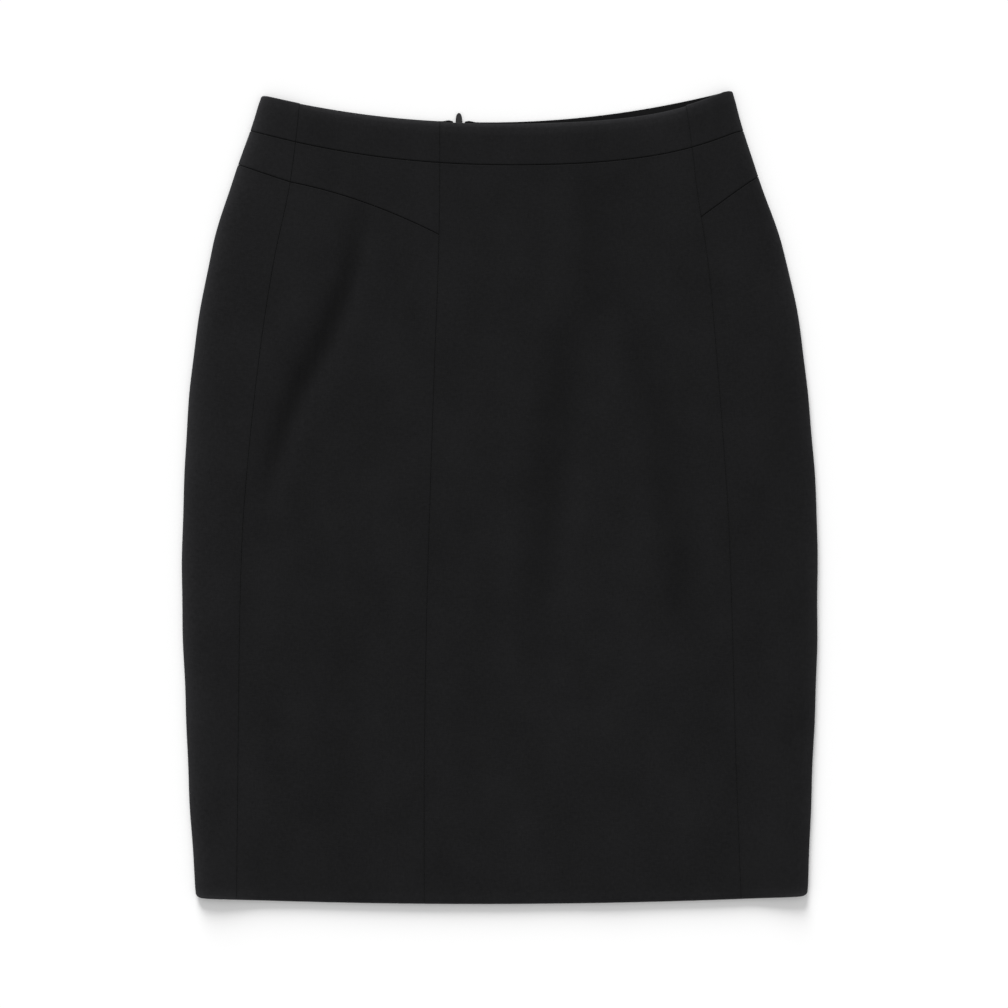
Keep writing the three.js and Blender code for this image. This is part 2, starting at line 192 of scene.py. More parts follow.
class SkirtColours(bpy.types.PropertyGroup):
    suiting: bpy.props.FloatVectorProperty(
        name="Suiting", description="Colour of the cloth", subtype="COLOR", size=3, min=0, max=1,
        default=hex_colour("#141415"))
    tape: bpy.props.FloatVectorProperty(
        name="Zip tape", description="Colour of the zip's woven tape", subtype="COLOR", size=3, min=0, max=1,
        default=hex_colour("#141415"))
    coil: bpy.props.FloatVectorProperty(
        name="Zip coil", description="Colour of the zip's nylon coil", subtype="COLOR", size=3, min=0, max=1,
        default=hex_colour("#101011"))
    enamel: bpy.props.FloatVectorProperty(
        name="Enamel", description="Colour of the slider and its pull", subtype="COLOR", size=3, min=0, max=1,
        default=hex_colour("#060607"))
    floor: bpy.props.FloatVectorProperty(
        name="Floor", description="Colour of the pale surface", subtype="COLOR", size=3, min=0, max=1,
        default=hex_colour("#f2f2f2"))


class SkirtStudio(bpy.types.PropertyGroup):
    camera_height: bpy.props.FloatProperty(
        name="Camera height", description="Height of the camera above the surface", default=2.075,
        unit="LENGTH")
    key: bpy.props.FloatProperty(
        name="Key light", description="Strength of the broad low light", default=4.7, min=0, max=20)
    key_height: bpy.props.FloatProperty(
        name="Key height", description="Angle of the key light above the surface",
        default=math.radians(19), subtype="ANGLE")
    key_spread: bpy.props.FloatProperty(
        name="Key spread", description="How broad the key light looks from the skirt",
        default=math.radians(26), subtype="ANGLE")
    surround: bpy.props.FloatProperty(
        name="Surround", description="Strength of the white surroundings", default=0.66, min=0, max=3)


# ---------------------------------------------------------------- the tube of cloth (all in mm)

UPS = np.array([row["up"] for row in LEVELS])


def column(name, up):
    """A column of LEVELS as a smooth function of height: a cubic through every row."""
    values = np.array([row[name] for row in LEVELS])
    ends = np.arange(len(values))
    before, after = np.maximum(ends - 1, 0), np.minimum(ends + 1, len(values) - 1)
    slopes = (values[after] - values[before]) / (UPS[after] - UPS[before])
    up = np.asarray(up, float)
    i = np.clip(np.searchsorted(-UPS, -up, side="right") - 1, 0, len(values) - 2)
    run = UPS[i + 1] - UPS[i]
    t = (up - UPS[i]) / run
    ease = t * t * (3 - 2 * t)
    return (values[i] * (1 - ease) + values[i + 1] * ease
            + run * t * (1 - t) * ((1 - t) * slopes[i] - t * slopes[i + 1]))


def smooth(x, low, high):
    """0 below low, 1 above high, and an even curve between."""
    t = np.clip((x - low) / (high - low), 0, 1)
    return t * t * (3 - 2 * t)


def level_y(x, up, front):
    """Where a level of the tube lies, seen from above: its middle hangs below its ends."""
    left, right = column("left", up), column("right", up)
    across = (2 * x - left - right) / (right - left)
    along = np.clip((across - SAG["start"]) / (SAG["end"] - SAG["start"]), 0, 1)
    sag = SAG["deep"] * np.sin(np.pi * along ** SAG["lean"]) * smooth(up, WAIST - SAG["fades"], WAIST)
    inset = np.maximum(np.minimum(x - left, right - x), 0)
    corner = np.exp(-inset / CORNER["soft"])
    round_top = CORNER["waist"] * corner * smooth(up, WAIST - CORNER["reach"], WAIST)
    round_hem = CORNER["hem"] * corner * smooth(-up, -HEM - CORNER["reach"], -HEM)
    dip = column("dip", up) * np.maximum(0, 1 - across ** 2)
    return up - round_top + round_hem - dip + column("tilt", up) * across - np.where(front, sag, 0)


def relief(x, y, creases):
    """Height of the soft creases at a point."""
    total = np.zeros(np.broadcast(x, y).shape)
    for c in creases:
        lean = math.radians(c["lean"])
        along = -(x - c["x"]) * math.sin(lean) + (y - c["y"]) * math.cos(lean)
        side = (x - c["x"]) * math.cos(lean) + (y - c["y"]) * math.sin(lean)
        side = side - c["bend"] * (along / c["long"]) ** 2 * np.sign(along)
        total += c["rise"] * np.exp(-(side / c["wide"]) ** 2 - (along / c["long"]) ** 4)
    return total


def unevenness(x, y):
    """A faint, irregular rise and fall of cloth that has been put on, pressed and laid down."""
    total = 0
    for length, turn, shift in UNEVEN["waves"]:
        total = total + np.sin((x * math.cos(turn) + y * math.sin(turn)) * 2 * math.pi / length + shift)
    return UNEVEN["rise"] * total


class Station:
    """One upright mesh line of a gore: a function of height, on the front, round a fold or on the back."""

    def __init__(self, where, place, fold=0, turn=0.0):
        self.where, self.place, self.fold, self.turn = where, place, fold, turn


def fold_width(side, sizes):
    """How wide a side fold's rounded upper half is: side is -1 left and 1 right."""
    return (sizes.left_fold if side < 0 else sizes.right_fold) / MM


def fold_start(side, sizes, up):
    """Where the rounded side fold begins on the front."""
    width = fold_width(side, sizes)
    return column("left", up) + width if side < 0 else column("right", up) - width


def fold_end(side, up):
    """Where the side fold ends on the back."""
    return column("left", up) + HALF_HEIGHT if side < 0 else column("right", up) - HALF_HEIGHT


def slot_half(up):
    """Half the opening at the back seam."""
    return np.interp(WAIST - up, SLOT["down"], SLOT["half"])


def spread(total, spacing, near_first=True, near_last=True):
    """Mesh lines across a stretch, each (mm, share): fixed distances near a seam, even steps between."""
    first = NEAR_SEAM if near_first else (0.0,)
    last = NEAR_SEAM if near_last else (0.0,)
    count = max(2, round((total - first[-1] - last[-1]) / spacing))
    lines = [(d, 0.0) for d in first]
    lines += [(first[-1] * (1 - i / count) - last[-1] * (i / count), i / count) for i in range(1, count)]
    return lines + [(-d, 1.0) for d in reversed(last)]


def run_between(where, start, end, sizes, rough, near_start=True, near_end=True):
    """Stations from one line to another on a layer; start and end are functions of height."""
    made = []
    for offset, share in spread(rough, sizes.spacing / MM, near_start, near_end):
        def place(up, offset=offset, share=share):
            a, b = start(up), end(up)
            return a + (b - a) * share + np.sign(b - a) * offset
        made.append(Station(where, place))
    return made


def fold_stations(side, first, last):
    """Stations round a side fold, from one turn to another: 0 is on top and pi is underneath."""
    turns = [first + (last - first) * i / FOLD_STEPS for i in range(1, FOLD_STEPS)]
    return [Station("fold", None, side, turn) for turn in turns]


def gores(sizes):
    """Every gore as its stations from one seam to the next, with the seam gap taken off both ends."""
    gap = sizes.seam_gap / MM / 2
    seam = {name: (lambda up, name=name: column(name, up)) for name in ("side", "princess", "far", "back")}

    def shifted(line, by):
        return lambda up: line(up) + by

    def stretch(where, start, end, rough, *near):
        return run_between(where, start, end, sizes, rough, *near)

    def after(name):
        return shifted(seam[name], gap)

    def before(name):
        return shifted(seam[name], -gap)

    right_top = lambda up: fold_start(1, sizes, up)
    left_top = lambda up: fold_start(-1, sizes, up)
    centre_right = lambda up: BACK_CENTRE + slot_half(up)
    centre_left = lambda up: BACK_CENTRE - slot_half(up)
    return {
        "front_left": stretch("front", after("side"), before("princess"), 120),
        "front_centre": stretch("front", after("princess"), before("far"), 210),
        "front_right": stretch("front", after("far"), right_top, 52, True, False)
        + fold_stations(1, 0, math.pi)
        + stretch("back", lambda up: fold_end(1, up), after("back"), 36, False, True),
        "back_right": stretch("back", before("back"), centre_right, 195),
        "back_left": stretch("back", centre_left, lambda up: fold_end(-1, up), 185, True, False)
        + fold_stations(-1, math.pi, 0)
        + stretch("front", left_top, before("side"), 30, False, True),
    }


def place_points(station, up, sizes, sink, thickness, depth_share, front_edge):
    """Points of one station at heights up, sink below the outer face, on the outer or the inner face."""
    depth = sink + depth_share * np.maximum(thickness - sink, 0.25)
    if station.where == "fold":
        wide = fold_width(station.fold, sizes) if station.turn < math.pi / 2 else HALF_HEIGHT
        outer = column("left", up) if station.fold < 0 else column("right", up)
        x = outer - station.fold * wide + station.fold * (wide - depth) * math.sin(station.turn)
        z = HALF_HEIGHT + (HALF_HEIGHT - depth) * math.cos(station.turn)
        y = level_y(x, up, False)
        wobble = 0.25 * np.sin(y / 23 + station.fold) + 0.18 * np.sin(y / 9.7)
        return x + station.fold * wobble * math.sin(station.turn) ** 2, y, z
    x = station.place(up)
    front = station.where == "front"
    y = level_y(x, up, front)
    if not front:
        beside_zip = np.exp(-((np.abs(x - BACK_CENTRE) - ZIP_LUMP["out"]) / ZIP_LUMP["wide"]) ** 2)
        y = y + ZIP_LUMP["rise"] * beside_zip * smooth(up, WAIST - 12, WAIST)
        rest = smooth(np.minimum(x - column("left", up), column("right", up) - x), HALF_HEIGHT, 40)
        lift = np.maximum(0, relief(x, y, BACK_CREASES) * sizes.creases) * rest + 0.06
        return x, y, depth + lift
    inset = np.minimum(x - fold_start(-1, sizes, up), fold_start(1, sizes, up) - x)
    settled = smooth(inset, 0, SETTLE_OVER)
    z = 2 * HALF_HEIGHT - SETTLED * settled - depth
    z = z + (relief(x, y, FRONT_CREASES) + unevenness(x, y)) * sizes.creases * settled
    return x, y, z - front_edge * settled


def roll(distance, radius):
    """How far a rounded edge sinks at a distance in from it."""
    inside = np.clip(1 - distance / radius, 0, 1)
    return radius * (1 - np.sqrt(1 - inside ** 2))


def yoke_depth(gore, share):
    """Depth of the yoke below the band seam along a gore: a curve that flattens towards the side seams."""
    deep = {
        "front_left": ("princess", share), "front_right": ("far", 1 - share),
        "back_right": ("back", share), "back_left": ("back", 1 - share),
    }
    if gore not in deep:
        return np.zeros_like(share)
    name, toward = deep[gore]
    if gore.startswith("back"):
        return YOKE["back"] + (YOKE["side"] - YOKE["back"]) * (1 - toward) ** YOKE["curve"]
    return YOKE["side"] + (YOKE[name] - YOKE["side"]) * toward ** YOKE["curve"]


def gore_girth(stations, sizes, up):
    """Distance round the gore of each station at one height, in mm."""
    at = np.array([float(up)])
    points = np.array([np.hstack(place_points(s, at, sizes, 0, 1.2, 0, 0)) for s in stations])
    steps = np.linalg.norm(np.diff(points, axis=0), axis=1)
    return np.concatenate([[0], np.cumsum(steps)])


def cloth_piece(name, stations, top, bottom, sizes, free_top=False, free_bottom=False):
    """A closed shell from one seam to the next. top and bottom hold the edge's height at each station."""
    thick = sizes.cloth / MM
    spacing, radius, edge = sizes.spacing / MM, sizes.seam_roll / MM, sizes.edge_roll / MM
    girth = gore_girth(stations, sizes, BAND_SEAM - YOKE["side"])
    rows = spread(float(np.mean(top - bottom)), spacing)
    offset = np.array([r[0] for r in rows])
    share = np.array([r[1] for r in rows])
    up = top[None, :] * (1 - share[:, None]) + bottom[None, :] * share[:, None] - offset[:, None]
    down, rise = top[None, :] - up, up - bottom[None, :]
    from_side = np.minimum(girth, girth[-1] - girth)[None, :]
    ripple = np.sin(up / PUCKER["wave"] + 2.0 * np.sin(up / PUCKER["drift"]))
    pucker = PUCKER["deep"] * ripple * np.exp(-from_side / PUCKER["reach"])
    sink = roll(from_side, sizes.upright_roll / MM) * np.ones_like(up)
    sink = sink + pucker * (from_side > PUCKER["clear"])
    doubled = np.zeros_like(up)
    droop = np.zeros_like(up)
    for distance, free in ((down, free_top), (rise, free_bottom)):
        if free:
            sink = np.maximum(sink, roll(distance, thick * FREE_EDGE["roll"]))
            droop = droop + FREE_EDGE["droop"] * (1 - smooth(distance, 0, edge))
            turning = 1 - smooth(distance, *FREE_EDGE["turning"])
            doubled = np.maximum(doubled, FREE_EDGE["doubled"] * turning)
        else:
            sink = np.maximum(sink, roll(distance, radius))
    outer, inner = [], []
    for j, station in enumerate(stations):
        fat = thick + doubled[:, j]
        for share_in, into in ((0.0, outer), (1.0, inner)):
            under = sink[:, j] if share_in == 0 else np.minimum(sink[:, j], 0.5 * thick)
            x, y, z = place_points(station, up[:, j], sizes, under, fat, share_in, droop[:, j])
            into.append(np.stack([x, y, z], axis=1))
    # painted sheen: paler colour along the side folds, the waist and the hem, where light grazes the turned
    # cloth
    painted_sheen_and_shade = np.stack([painted_edge_sheen(s, up[:, j], sizes) for j, s in enumerate(stations)], axis=1)
    painted_sheen_and_shade += PAINTED_SHEEN["waist"] * np.exp(-down / PAINTED_SHEEN["waist_reach"]) * free_top
    painted_sheen_and_shade += PAINTED_SHEEN["hem"] * np.exp(-rise / PAINTED_SHEEN["hem_reach"]) * free_bottom
    # painted shade in the hollows of the front's creases
    for j, station in enumerate(stations):
        if station.where == "front":
            x = station.place(up[:, j])
            hollow = np.minimum(relief(x, level_y(x, up[:, j], True), FRONT_CREASES), 0)
            painted_sheen_and_shade[:, j] += PAINTED_HOLLOW_SHADE * hollow
    # painted shade down in the upright and level seams
    level_seam = np.minimum(down + 99 * free_top, rise + 99 * free_bottom)
    painted_seam_shade = (1 - SEAM_PAINTED_SHADE["upright"] * np.exp(-(from_side / SEAM_PAINTED_SHADE["reach"]) ** 2)) * (
        1 - SEAM_PAINTED_SHADE["level"] * np.exp(-(level_seam / SEAM_PAINTED_SHADE["reach"]) ** 2))
    return shell(name, np.array(outer), np.array(inner), girth, up, ((1 + painted_sheen_and_shade) * painted_seam_shade).T)


def painted_edge_sheen(station, up, sizes):
    """How much paler one station is painted at a side fold: painted sheen where the turned cloth catches the
    light.
    """
    if station.where == "fold":
        wide = fold_width(station.fold, sizes) if station.turn < math.pi / 2 else HALF_HEIGHT
        inset = np.full_like(up, wide * (1 - math.sin(station.turn)))
        left, right = (inset, 400.0) if station.fold < 0 else (400.0, inset)
    else:
        x = station.place(up)
        left, right = x - column("left", up), column("right", up) - x
    return (PAINTED_SHEEN["left"] * np.exp(-left / PAINTED_SHEEN["left_reach"])
            + PAINTED_SHEEN["right"] * np.exp(-right / PAINTED_SHEEN["right_reach"])
            + PAINTED_SHEEN["broad"] * np.exp(-left / PAINTED_SHEEN["broad_reach"]))


def shell(name, outer, inner, girth, up, shade):
    """A closed mesh from two grids of points in mm, with the cloth's grain as its UV map in metres."""
    columns, rows, _ = outer.shape
    points = np.concatenate([outer.reshape(-1, 3), inner.reshape(-1, 3)]) * MM
    size = columns * rows
    number = np.arange(size).reshape(columns, rows)
    a, b, c, d = number[:-1, :-1], number[:-1, 1:], number[1:, 1:], number[1:, :-1]
    faces = [np.stack([a, b, c, d], -1).reshape(-1, 4), np.stack([a, d, c, b], -1).reshape(-1, 4) + size]
    rim = np.concatenate([number[:, 0], number[-1, 1:], number[-2::-1, -1], number[0, -2:0:-1]])
    after = np.roll(rim, -1)
    faces.append(np.stack([rim, after, after + size, rim + size], -1))
    faces = np.concatenate(faces)
    mesh = bpy.data.meshes.new(name)
    mesh.from_pydata(points.tolist(), [], faces.tolist())
    mesh.polygons.foreach_set("use_smooth", np.ones(len(mesh.polygons), bool))
    grain = np.stack([np.repeat(girth, rows), up.T.reshape(-1)], 1) * MM
    grain = np.concatenate([grain, grain])
    uv = mesh.uv_layers.new(name="Grain")
    corner = np.zeros(len(mesh.loops), np.int32)
    mesh.loops.foreach_get("vertex_index", corner)
    uv.data.foreach_set("uv", grain[corner].astype(np.float32).ravel())
    # the attribute holds painted light and shade per point: painted sheen along folded edges, waist and hem,
    # painted shade in seams and crease hollows
    painted_light_attribute = mesh.attributes.new("PaintedLightAndShade", "FLOAT", "POINT")
    # painted shade on the inner face: darker, without the painted sheen
    inside = INSIDE_PAINTED_SHADE * np.minimum(shade, 1)
    painted_light_attribute.data.foreach_set("value", np.concatenate([shade.ravel(), inside.ravel()]).astype(np.float32))
    mesh.validate()
    piece = bpy.data.objects.new(name, mesh)
    bpy.context.scene.collection.objects.link(piece)
    return piece


def lay_cloth(piece, node, material):
    """Puts a finished cloth piece, with its material, in the frame in place of its solid."""
    piece.data.materials.append(material)
    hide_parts(node)
    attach(piece, "skirt")


def edges_of(gore, stations, sizes):
    """The four edge lines of a gore, top to bottom, as heights at each station, and half the seam gap."""
    gap = sizes.seam_gap / MM / 2
    girth = gore_girth(stations, sizes, BAND_SEAM - YOKE["side"])
    waist = WAIST - (FRONT_SET_DOWN if gore in ("front_left", "front_centre") else 0)
    level = np.full(len(stations), waist)
    seam = np.full(len(stations), BAND_SEAM)
    foot = BAND_SEAM - yoke_depth(gore, girth / girth[-1])
    return level, seam, foot, np.full(len(stations), HEM), gap


# ---------------------------------------------------------------- materials

def add_node(tree, kind, links=(), **settings):
    """Adds one node. settings set its properties or unlinked inputs; links join (input, output socket)."""
    node = tree.nodes.new(kind)
    for key, value in settings.items():
        if hasattr(node, key):
            setattr(node, key, value)
        else:
            node.inputs[key.replace("_", " ")].default_value = value
    for name, source in links:
        tree.links.new(source, node.inputs[name])
    return node


def new_material(name):
    """An empty material with one shader joined to its output."""
    material = bpy.data.materials.new(name)
    material.use_nodes = True
    tree = material.node_tree
    tree.nodes.clear()
    output = tree.nodes.new("ShaderNodeOutputMaterial")
    shader = tree.nodes.new("ShaderNodeBsdfPrincipled")
    tree.links.new(shader.outputs[0], output.inputs[0])
    return material, tree, shader


def crepe_suiting(colour):
    """Polyester and viscose crepe suiting: plain weave of overtwisted yarn, dyed black, so it is matt
    with a fine pebbled grain and a faint sheen of fibre ends where it turns away. Its colour also carries
    painted light and shade: painted sheen along folded edges, waist and hem, and painted shade in seams,
    crease hollows and the inside."""
    name = "crepe_suiting_black"
    if name in bpy.data.materials:
        return bpy.data.materials[name]
    material, tree, shader = new_material(name)
    grain = add_node(tree, "ShaderNodeUVMap", uv_map="Grain").outputs[0]
    place = add_node(tree, "ShaderNodeTexCoord").outputs["Object"]
    # yarns lie 0.5 mm apart; they are drawn 0.9 mm apart, as coarse as they need to be to show
    yarn = 1 / (0.9 * MM)
    warp = add_node(tree, "ShaderNodeMapping", [("Vector", grain)], vector_type="POINT")
    warp.inputs["Scale"].default_value = (yarn, yarn * 0.22, 1)
    weft = add_node(tree, "ShaderNodeMapping", [("Vector", grain)], vector_type="POINT")
    weft.inputs["Scale"].default_value = (yarn * 0.22, yarn, 1)
    warp_yarn = add_node(tree, "ShaderNodeTexNoise", [("Vector", warp.outputs[0])], Scale=1.0, Detail=2.0)
    weft_yarn = add_node(tree, "ShaderNodeTexNoise", [("Vector", weft.outputs[0])], Scale=1.0, Detail=2.0)
    weave = add_node(tree, "ShaderNodeMath",
                     [(0, warp_yarn.outputs["Fac"]), (1, weft_yarn.outputs["Fac"])], operation="ADD")
    # pebbling from the overtwisted yarn, in cells about 2.5 mm across
    pebble = add_node(tree, "ShaderNodeTexNoise", [("Vector", place)], Scale=1 / (2.5 * MM), Detail=3.0)
    # handling and pressing leave patches about 45 mm across a shade apart, longer down than across
    drawn = add_node(tree, "ShaderNodeMapping", [("Vector", place)], vector_type="POINT")
    drawn.inputs["Scale"].default_value = (1.25, 0.7, 1)
    patch = add_node(tree, "ShaderNodeTexNoise", [("Vector", drawn.outputs[0])],
                     Scale=1 / (45 * MM), Detail=5.0)
    patch = add_node(tree, "ShaderNodeMath", [(0, patch.outputs["Fac"])], operation="MULTIPLY_ADD")
    patch.inputs[1].default_value, patch.inputs[2].default_value = 1.3, -0.15
    mixed = add_node(tree, "ShaderNodeMath",
                     [(0, weave.outputs[0]), (1, pebble.outputs["Fac"])], operation="ADD")
    shade = add_node(tree, "ShaderNodeMath", [(0, mixed.outputs[0]), (1, patch.outputs[0])], operation="ADD")
    tone = add_node(tree, "ShaderNodeMapRange", [("Value", shade.outputs[0])])
    for key, value in (("From Min", 1.2), ("From Max", 2.8), ("To Min", 0.0), ("To Max", 1.0)):
        tone.inputs[key].default_value = value
    ramp = add_node(tree, "ShaderNodeValToRGB", [("Fac", tone.outputs[0])])
    ramp.color_ramp.elements[0].color = (*(c * 0.62 for c in colour), 1)
    ramp.color_ramp.elements[1].color = (*(c * 1.38 for c in colour), 1)
    # painted light and shade: the mesh attribute scales the colour, with paler painted sheen along folded
    # edges, waist and hem and painted shade in seams, crease hollows and the inside
    painted_light_attribute = add_node(tree, "ShaderNodeAttribute", attribute_name="PaintedLightAndShade")
    painted_light_colour = add_node(tree, "ShaderNodeVectorMath", operation="SCALE")
    tree.links.new(ramp.outputs["Color"], painted_light_colour.inputs[0])
    tree.links.new(painted_light_attribute.outputs["Fac"], painted_light_colour.inputs["Scale"])
    tree.links.new(painted_light_colour.outputs[0], shader.inputs["Base Color"])
    bump = add_node(tree, "ShaderNodeBump", [("Height", mixed.outputs[0])], Strength=0.35, Distance=0.12 * MM)
    tree.links.new(bump.outputs[0], shader.inputs["Normal"])
    shader.inputs["Roughness"].default_value = 0.92
    shader.inputs["Specular IOR Level"].default_value = 0.1
    shader.inputs["Sheen Weight"].default_value = 0.02
    shader.inputs["Sheen Roughness"].default_value = 0.45
    return material


def polyester_tape(colour):
    """Woven polyester zip tape: fine ribs along its length, a little smoother than the skirt's cloth."""
    material, tree, shader = new_material("polyester_zip_tape")
    place = add_node(tree, "ShaderNodeTexCoord").outputs["Object"]
    ribs = add_node(tree, "ShaderNodeTexWave", [("Vector", place)], bands_direction="X",
                    Scale=1 / (0.7 * MM) / 6.283, Distortion=0.6, Detail=1.0)
    ramp = add_node(tree, "ShaderNodeValToRGB", [("Fac", ribs.outputs["Fac"])])
    ramp.color_ramp.elements[0].color = (*(c * 0.7 for c in colour), 1)
    ramp.color_ramp.elements[1].color = (*(c * 1.3 for c in colour), 1)
    tree.links.new(ramp.outputs["Color"], shader.inputs["Base Color"])
    bump = add_node(tree, "ShaderNodeBump", [("Height", ribs.outputs["Fac"])], Strength=0.4,
                    Distance=0.08 * MM)
    tree.links.new(bump.outputs[0], shader.inputs["Normal"])
    shader.inputs["Roughness"].default_value = 0.8
    return material


def worn_gloss(name, colour, roughness, coat, grit):
    """Smooth black nylon or enamel: the colour is even, and the gloss is broken up by fine rubbing."""
    material, tree, shader = new_material(name)
    place = add_node(tree, "ShaderNodeTexCoord").outputs["Object"]
    rub = add_node(tree, "ShaderNodeTexNoise", [("Vector", place)], Scale=1 / grit, Detail=4.0)
    rough = add_node(tree, "ShaderNodeMapRange", [("Value", rub.outputs["Fac"])])
    rough.inputs["To Min"].default_value = roughness * 0.75
    rough.inputs["To Max"].default_value = roughness * 1.25
    ramp = add_node(tree, "ShaderNodeValToRGB", [("Fac", rub.outputs["Fac"])])
    ramp.color_ramp.elements[0].color = (*(c * 0.85 for c in colour), 1)
    ramp.color_ramp.elements[1].color = (*(c * 1.2 for c in colour), 1)
    tree.links.new(ramp.outputs["Color"], shader.inputs["Base Color"])
    tree.links.new(rough.outputs[0], shader.inputs["Roughness"])
    bump = add_node(tree, "ShaderNodeBump", [("Height", rub.outputs["Fac"])], Strength=0.1,
                    Distance=0.02 * MM)
    tree.links.new(bump.outputs[0], shader.inputs["Normal"])
    shader.inputs["Coat Weight"].default_value = coat
    return material


# ---------------------------------------------------------------- operators

def build_cloth(kind):
    """Builds the waistband, yoke or panel of every gore that has one."""
    scene = bpy.context.scene
    sizes = scene.skirt_sizes
    material = crepe_suiting(tuple(scene.skirt_colours.suiting))
    for gore, stations in gores(sizes).items():
        waist, seam, foot, hem, gap = edges_of(gore, stations, sizes)
        name = f"{kind}_{gore}"
        if kind == "yoke" and gore == "front_centre":
            continue
        if kind == "waistband":
            made = cloth_piece(f"cloth_{name}", stations, waist, seam + gap, sizes, free_top=True)
        elif kind == "yoke":
            made = cloth_piece(f"cloth_{name}", stations, seam - gap, foot + gap, sizes)
        else:
            made = cloth_piece(f"cloth_{name}", stations, foot - gap, hem, sizes, free_bottom=True)
        lay_cloth(made, name, material)


class SKIRT_OT_waistband(bpy.types.Operator):
    """Build the five pieces of the waistband"""
    bl_idname = "skirt.waistband"
    bl_label = "Waistband"

    def execute(self, context):
        build_cloth("waistband")
        return {"FINISHED"}


class SKIRT_OT_yoke(bpy.types.Operator):
    """Build the four pieces of the yoke"""
    bl_idname = "skirt.yoke"
    bl_label = "Yoke"

    def execute(self, context):
        build_cloth("yoke")
        return {"FINISHED"}


class SKIRT_OT_panels(bpy.types.Operator):
    """Build the five panels below the yoke"""
    bl_idname = "skirt.panels"
    bl_label = "Panels"

    def execute(self, context):
        build_cloth("panel")
        return {"FINISHED"}


def mesh_piece(name, points, faces, material):
    """A smooth-shaded object from points and faces."""
    mesh = bpy.data.meshes.new(name)
    mesh.from_pydata([tuple(p) for p in points], [], [tuple(f) for f in faces])
    mesh.polygons.foreach_set("use_smooth", [True] * len(mesh.polygons))
    mesh.validate()
    mesh.materials.append(material)
    piece = bpy.data.objects.new(name, mesh)
    bpy.context.scene.collection.objects.link(piece)
    return piece


def grid_strip(rings):
    """Points and faces that join closed rings into a tube with capped ends."""
    n = len(rings[0])
    points = [p for ring in rings for p in ring]
    faces = [(i * n + j, i * n + (j + 1) % n, (i + 1) * n + (j + 1) % n, (i + 1) * n + j)
             for i in range(len(rings) - 1) for j in range(n)]
    return points, faces + [tuple(range(n))[::-1], tuple((len(rings) - 1) * n + j for j in range(n))]


class SKIRT_OT_zip(bpy.types.Operator):
    """Build the zip's two tapes and its two rows of coil"""
    bl_idname = "skirt.zip"
    bl_label = "Zip tapes and coils"

    def execute(self, context):
        scene = context.scene
        tape = polyester_tape(tuple(scene.skirt_colours.tape))
        nylon = worn_gloss("nylon_coil", tuple(scene.skirt_colours.coil), 0.45, 0.0, 0.8 * MM)
        pitch = scene.skirt_sizes.coil_pitch
        for side in ("left", "right"):
            way = -1 if side == "left" else 1
            low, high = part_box(f"zip_tape_{side}")
            floor, roof = low[2], low[2] + TAPE["thick"] * MM
            rings = []
            for i in range(TAPE["rows"] + 1):
                y = high[1] + (low[1] - high[1]) * i / TAPE["rows"]
                down = (high[1] - y) / MM + TAPE["top"]
                opening = float(np.interp(down, SLOT["down"], SLOT["half"]))
                beside = TAPE["beside_coil"] * float(smooth(down, *TAPE["coil_from"]))
                inner = BACK_CENTRE + way * (opening + TAPE["clear"] + beside)
                outer = inner + way * (TAPE["wide"] + TAPE["waver"] * math.sin(i * 0.7))
                section = [(inner + (outer - inner) * share, lift) for share, lift in TAPE_SECTION]
                under = [(x * MM, y, floor + lift * MM) for x, lift in section]
                over = [(x * MM, y, roof - lift * MM) for x, lift in section]
                ring = under + over[::-1]
                rings.append(ring if way > 0 else ring[::-1])
            piece = mesh_piece(f"zip_tape_woven_{side}", *grid_strip(rings), tape)
            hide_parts(f"zip_tape_{side}")
            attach(piece, "skirt")

            low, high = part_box(f"zip_coil_{side}")
            turns = int((high[1] - low[1]) / pitch)
            middle_x, middle_z = (low[0] + high[0]) / 2, (low[2] + high[2]) / 2
            half_x = (high[0] - low[0]) / 2 - COIL["inset"] * MM
            half_z = (high[2] - low[2]) / 2 - COIL["inset"] * MM
            rings = []
            steps, wire, ends = COIL["steps"], COIL["wire"] * MM, COIL["ends"] * MM
            for i in range(turns * steps + 1):
                turn = 2 * math.pi * i / steps
                y = high[1] - ends - (high[1] - low[1] - 2 * ends) * i / (turns * steps)
                out = (math.cos(turn), math.sin(turn))
                ring = []
                for k in range(COIL["sides"]):
                    a = 2 * math.pi * k / COIL["sides"]
                    reach = wire * math.cos(a)
                    ring.append((middle_x + out[0] * (half_x + reach), y + wire * math.sin(a),
                                 middle_z + out[1] * (half_z + reach)))
                rings.append(ring)
            coil = mesh_piece(f"zip_coil_nylon_{side}", *grid_strip(rings), nylon)
            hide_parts(f"zip_coil_{side}")
            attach(coil, "skirt")
        return {"FINISHED"}


class SKIRT_OT_slider(bpy.types.Operator):
    """Finish the slider and its pull in enamel, with rounded edges"""
    bl_idname = "skirt.slider"
    bl_label = "Slider and pull"

    def execute(self, context):
        enamel = worn_gloss("enamelled_zinc", tuple(context.scene.skirt_colours.enamel), 0.5, 0.0, 0.5 * MM)
        for name in ("zip_slider", "zip_pull"):
            node = frame["nodes"][name]
            node.data.materials.clear()
            node.data.materials.append(enamel)
            bevel = node.modifiers.new("worn_edges", "BEVEL")
            bevel.width = ENAMEL_EDGE["wide"] * MM
            bevel.segments = ENAMEL_EDGE["segments"]
            bevel.limit_method = "ANGLE"
            bevel.angle_limit = math.radians(ENAMEL_EDGE["angle"])
        return {"FINISHED"}


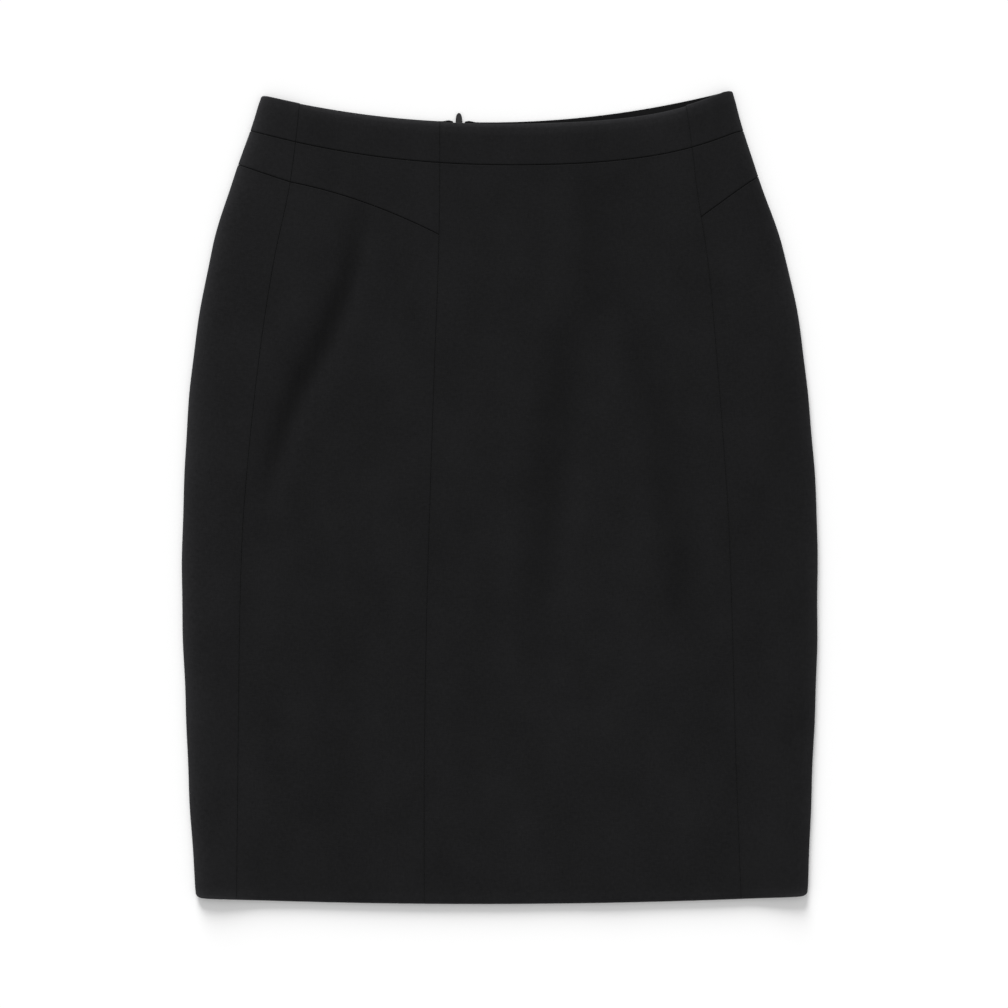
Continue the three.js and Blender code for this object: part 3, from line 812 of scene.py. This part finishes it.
class SKIRT_OT_studio(bpy.types.Operator):
    """Build the pale floor, the soft light and the camera straight above"""
    bl_idname = "skirt.studio"
    bl_label = "Studio"

    def execute(self, context):
        scene = context.scene
        studio = scene.skirt_studio
        mesh = bpy.data.meshes.new("floor")
        side, drop = FLOOR["half"], -FLOOR["drop"]
        corners = [(-side, -side, drop), (side, -side, drop), (side, side, drop), (-side, side, drop)]
        mesh.from_pydata(corners, [], [(0, 1, 2, 3)])
        paper, tree, shader = new_material("matt_background_paper")
        place = add_node(tree, "ShaderNodeTexCoord").outputs["Object"]
        fibre = add_node(tree, "ShaderNodeTexNoise", [("Vector", place)], Scale=1 / (4 * MM), Detail=2.0)
        tooth = add_node(tree, "ShaderNodeBump", [("Height", fibre.outputs["Fac"])], Strength=0.05,
                         Distance=0.05 * MM)
        tree.links.new(tooth.outputs[0], shader.inputs["Normal"])
        shader.inputs["Base Color"].default_value = (*scene.skirt_colours.floor, 1)
        shader.inputs["Roughness"].default_value = 1.0
        shader.inputs["Specular IOR Level"].default_value = 0.0
        mesh.materials.append(paper)
        floor = bpy.data.objects.new("floor", mesh)
        scene.collection.objects.link(floor)

        # one broad, low light; the white room does the rest
        data = bpy.data.lights.new("low_key", "SUN")
        data.energy = studio.key
        data.angle = studio.key_spread
        key = bpy.data.objects.new("low_key", data)
        toward = Vector((*KEY_FROM, math.tan(studio.key_height)))
        key.rotation_euler = toward.to_track_quat("Z", "Y").to_euler()
        scene.collection.objects.link(key)

        world = bpy.data.worlds.new("white_surround")
        world.use_nodes = True
        world.node_tree.nodes["Background"].inputs["Color"].default_value = (1, 1, 1, 1)
        world.node_tree.nodes["Background"].inputs["Strength"].default_value = studio.surround
        scene.world = world
        scene.view_settings.view_transform = "Standard"

        data = bpy.data.cameras.new("straight_above")
        data.lens, data.sensor_width = CAMERA["lens"], CAMERA["sensor"]
        camera = bpy.data.objects.new("straight_above", data)
        camera.location = (CAMERA["x"], CAMERA["y"], studio.camera_height)
        scene.collection.objects.link(camera)
        scene.camera = camera
        return {"FINISHED"}


class SKIRT_PT_panel(bpy.types.Panel):
    """Sizes, colours and steps of the laid-out skirt"""
    bl_idname = "SKIRT_PT_panel"
    bl_label = "Laid-out skirt"
    bl_space_type = "VIEW_3D"
    bl_region_type = "UI"
    bl_category = "Skirt"

    def draw(self, context):
        scene = context.scene
        for group in (scene.skirt_sizes, scene.skirt_colours, scene.skirt_studio):
            box = self.layout.box()
            for key in group.bl_rna.properties.keys():
                if key not in ("rna_type", "name"):
                    box.prop(group, key)
        for operator in OPERATORS:
            self.layout.operator(operator.bl_idname)


GROUPS = (SkirtSizes, SkirtColours, SkirtStudio)
OPERATORS = (SKIRT_OT_waistband, SKIRT_OT_yoke, SKIRT_OT_panels, SKIRT_OT_zip, SKIRT_OT_slider,
             SKIRT_OT_studio)


def register():
    for cls in (*GROUPS, *OPERATORS, SKIRT_PT_panel):
        bpy.utils.register_class(cls)
    bpy.types.Scene.skirt_sizes = bpy.props.PointerProperty(type=SkirtSizes)
    bpy.types.Scene.skirt_colours = bpy.props.PointerProperty(type=SkirtColours)
    bpy.types.Scene.skirt_studio = bpy.props.PointerProperty(type=SkirtStudio)


def unregister():
    del bpy.types.Scene.skirt_sizes, bpy.types.Scene.skirt_colours, bpy.types.Scene.skirt_studio
    for cls in reversed((*GROUPS, *OPERATORS, SKIRT_PT_panel)):
        bpy.utils.unregister_class(cls)


def main():
    register()
    bpy.ops.skirt.waistband()
    bpy.ops.skirt.yoke()
    bpy.ops.skirt.panels()
    bpy.ops.skirt.zip()
    bpy.ops.skirt.slider()
    bpy.ops.skirt.studio()


if __name__ == "__main__":
    main()
